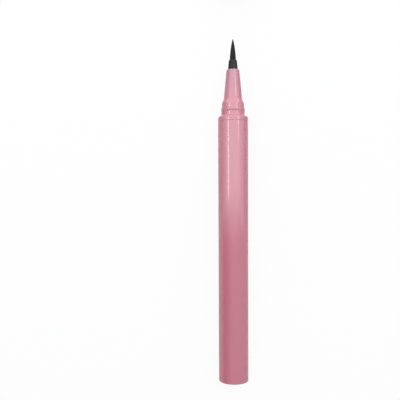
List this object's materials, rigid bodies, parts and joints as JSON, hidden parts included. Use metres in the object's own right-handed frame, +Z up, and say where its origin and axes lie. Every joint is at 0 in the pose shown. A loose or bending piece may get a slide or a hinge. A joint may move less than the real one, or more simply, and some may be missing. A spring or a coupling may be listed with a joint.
{
  "type": "eyebrow pen",
  "caption": "Slim round liquid brow pen with a fine black brush, an ink barrel fed through a finned collector, and a lined snap cap that pulls off in line.",
  "frame": {"origin": "on the ground under the middle of the open pen and the pulled-off cap together", "axes": "+Y along the pen from its tail to its brush and on to the cap's closed end; +Z up; +X to the right of the brush"},
  "size_m": [0.011, 0.1818, 0.011],
  "materials": {
    "pink_plastic": "high gloss, moulded in colour",
    "black_plastic": "glossy black",
    "bristle": "fine dark synthetic bristle, wet with ink",
    "white_plastic": "smooth, slightly waxy",
    "natural_plastic": "uncoloured, semi-matt",
    "feed_fibre": "pressed fibre rod, soaked with ink",
    "seal_rubber": "matt",
    "ball_steel": "polished"
  },
  "bodies": {
    "pen": {"barrel": "pink_plastic", "tail_plug": "pink_plastic", "tail_seal_ring": "seal_rubber", "front_section": "pink_plastic", "brush_holder": "black_plastic", "brush": "bristle", "feed_core": "feed_fibre", "ink_collector": "natural_plastic", "tank_partition": "natural_plastic"},
    "cap": {"cap_shell": "pink_plastic", "inner_cap": "white_plastic"},
    "mixing_ball": {"mixing_ball": "ball_steel"}
  },
  "joints": [
    {"name": "cap_slide", "type": "slide", "parent": "pen", "child": "cap", "axis": [0, -1, 0], "range_m": [0, 0.046]},
    {"name": "ball_slide", "type": "slide", "parent": "pen", "child": "mixing_ball", "axis": [0, 1, 0], "range_m": [0, 0.0499]}
  ]
}
